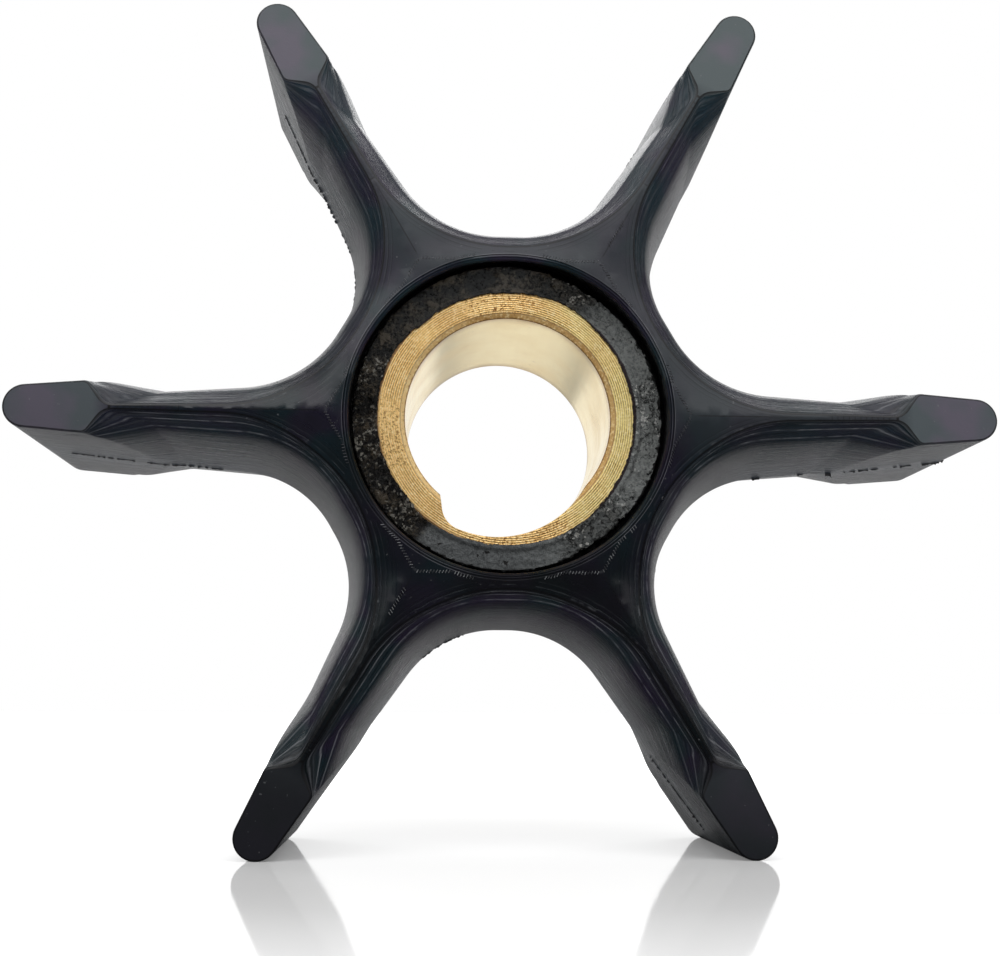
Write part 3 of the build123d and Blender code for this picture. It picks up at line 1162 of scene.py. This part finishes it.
def floor_material():
    """Glossy white sweep: white to the camera away from the object, greyer round its feet as a
    painted pool of shade, with the object's shadow and mirror image.
    """
    g = Graph("white_sweep")
    place = g.place()
    distance = g.length(place)
    # polished only round the object's feet, so that no lamp is mirrored further out
    polish = g.mix(g.between(distance, 0.075, 0.115),
                   g.ramp(g.noise(place, 60.0, 2.0), (0.3, 0.05), (0.7, 0.08)), 0.5)
    path = g.add("LightPath").outputs
    # gloss sees a dim room in front of the sweep
    front = g.sink(g.plus(g.parts(place)[1], 0.5), 0.535, 0.578)
    base = g.mix(g.times(path["Is Glossy Ray"], front), 0.88, (0.1, 0.1, 0.11))
    # painted shade: the camera's glow is weaker near the object, which leaves a grey pool round its
    # feet
    glow = g.ramp(distance, (0.05, 0.16), (0.15, 1.0))
    shader = g.out("BsdfPrincipled", {
        "Base Color": base, "Roughness": polish, "IOR": 1.33, "Emission Color": 1.0,
        "Emission Strength": g.times(path["Is Camera Ray"], glow)})
    g.add("OutputMaterial", {0: shader})
    return g.material


def make_floor():
    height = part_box("rubber_body")[0].z
    corners = [(x * floor_reach, y * floor_reach, height)
               for x, y in ((-1, -1), (1, -1), (1, 1), (-1, 1))]
    mesh = bpy.data.meshes.new("studio_floor")
    mesh.from_pydata(corners, [], [(0, 1, 2, 3)])
    mesh.materials.append(floor_material())
    in_scene("studio_floor", mesh)


def make_world():
    """A white studio to the eye; gloss sees its walls by height, depth and side."""
    g = Graph("studio", bpy.data.worlds.new("studio"))
    bpy.context.scene.world = g.material
    way = g.add("TexCoord").outputs["Generated"]
    across, back, up = (g.plus(g.times(part, 0.5), 0.5) for part in g.parts(way))
    # the room in front of the sweep is dim below eye level
    behind = g.rise(back, 0.5, 0.56)
    # and the white backdrop behind is only so wide, reaching further to the right
    aside = g.ramp(across, (0.19, 0.2), (0.34, 1.0), (0.7, 1.0), (0.85, 0.4))
    above = g.ramp(up, (0.5, 0.01), (0.8, 0.25), (0.92, 0.3), (0.96, 0.85))
    room = g.mix(1.0, g.mix(1.0, behind, aside, "MULTIPLY"), above, "LIGHTEN")
    path = g.add("LightPath").outputs
    gloss = g.math("MAXIMUM", path["Is Glossy Ray"], path["Is Transmission Ray"])
    strength = g.math("MAXIMUM", g.times(gloss, room), g.times(g.minus(1.0, gloss), 0.3))
    strength = g.math("MAXIMUM", strength, path["Is Camera Ray"])
    white = g.out("Background", {"Color": 1.0, "Strength": strength})
    g.add("OutputWorld", {0: white})


def soft_lamp(name, place, aim, width, height, power):
    """A lamp with a soft rectangle of light, hidden from the camera."""
    data = bpy.data.lights.new(name, "AREA")
    data.shape = "RECTANGLE"
    data.size, data.size_y = width * MM, height * MM
    data.energy = power
    lamp = in_scene(name, data)
    lamp.location = Vector(place) * MM
    lamp.rotation_mode = "QUATERNION"
    lamp.rotation_quaternion = (Vector(aim) - Vector(place)).to_track_quat("-Z", "Y")
    lamp.visible_camera = False


def make_camera():
    """The camera that took the photo, fitted to it."""
    pitch, yaw, roll = camera_turns
    turn = (np.array(((cos(roll), -sin(roll), 0), (sin(roll), cos(roll), 0), (0, 0, 1)))
            @ np.array(((cos(yaw), 0, sin(yaw)), (0, 1, 0), (-sin(yaw), 0, cos(yaw))))
            @ np.array(((1, 0, 0), (0, cos(pitch), -sin(pitch)), (0, sin(pitch), cos(pitch)))))
    right, up, forward = (Vector((row[0], row[2], row[1])) for row in turn)
    data = bpy.data.cameras.new("camera")
    data.sensor_width = 36.0
    data.lens = camera_lens
    data.clip_start, data.clip_end = 0.001, 20.0
    camera = in_scene("camera", data)
    camera.location = Vector(camera_place) * MM
    camera.rotation_mode = "QUATERNION"
    camera.rotation_quaternion = Matrix((right, up, -forward)).transposed().to_quaternion()
    bpy.context.scene.camera = camera


rubber_body(rubber_material())
brass_bush([turned_brass(), mouth_brass(), bore_brass()])
stitch_marks(tick_material())
parting_flash(flash_material())
make_floor()
make_world()
soft_lamp("key_lamp", (0, -220, 245), (0, 0, 5), 620, 250, 1.22)
soft_lamp("back_lamp", (0, 190, 230), (0, 0, 0), 300, 160, 0.42)
bpy.context.scene.view_settings.view_transform = "Standard"
make_camera()
